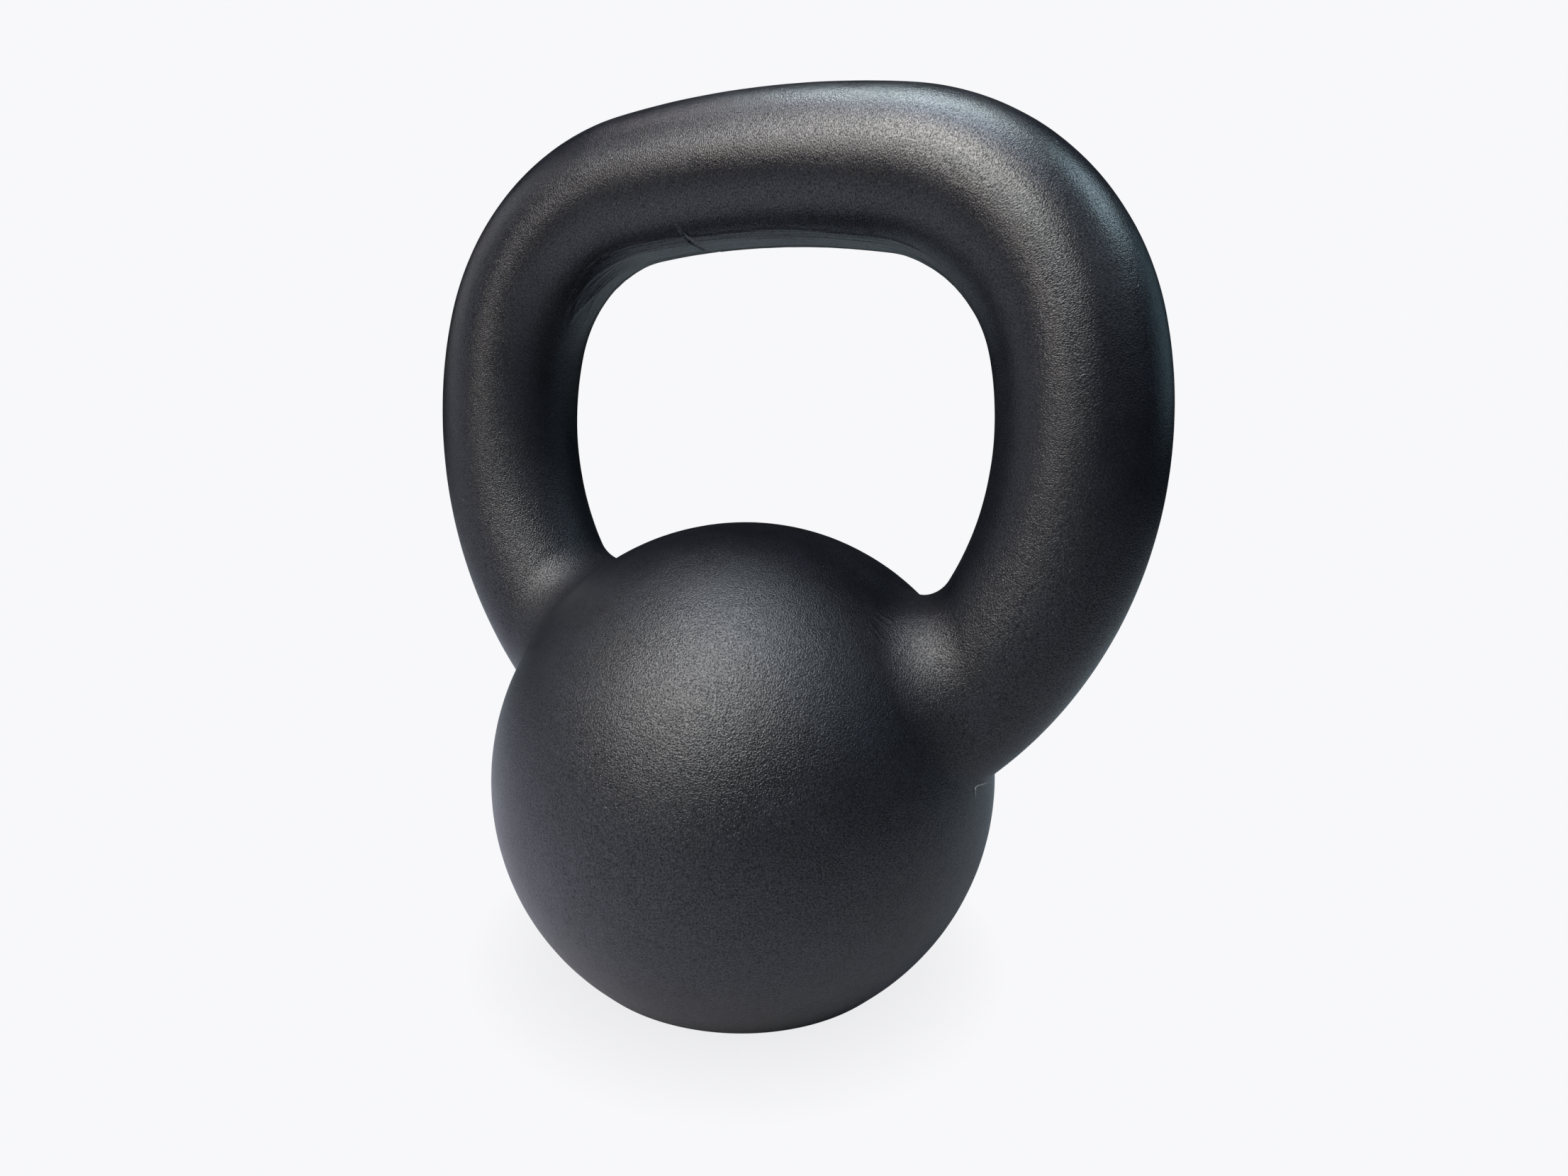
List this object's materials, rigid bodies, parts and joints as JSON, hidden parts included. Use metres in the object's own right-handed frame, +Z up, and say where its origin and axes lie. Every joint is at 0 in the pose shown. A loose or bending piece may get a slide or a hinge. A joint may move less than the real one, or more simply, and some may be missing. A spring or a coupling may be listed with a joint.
{
  "type": "kettlebell",
  "caption": "Kettlebell: a black-coated iron ball with a flat base, a bent steel bar handle welded on at both roots, and a plugged trim pocket in the base.",
  "frame": {"origin": "middle of the flat base, on the surface that the kettlebell stands on", "axes": "+Z up through the ball's centre and the middle of the bar; +X along the bar; the picture is taken from the -Y side"},
  "size_m": [0.176, 0.1184, 0.1963],
  "materials": {
    "bell_coat": "satin",
    "handle_coat": "satin",
    "weld_coat": "satin",
    "shot_steel": "satin",
    "spacer_wood": "matte",
    "plug_coat": "satin"
  },
  "bodies": {
    "root": {"bell": "bell_coat", "handle": "handle_coat", "left_root_weld": "weld_coat", "right_root_weld": "weld_coat", "trim_shot": "shot_steel", "pocket_spacer": "spacer_wood", "base_plug": "plug_coat"}
  },
  "joints": []
}
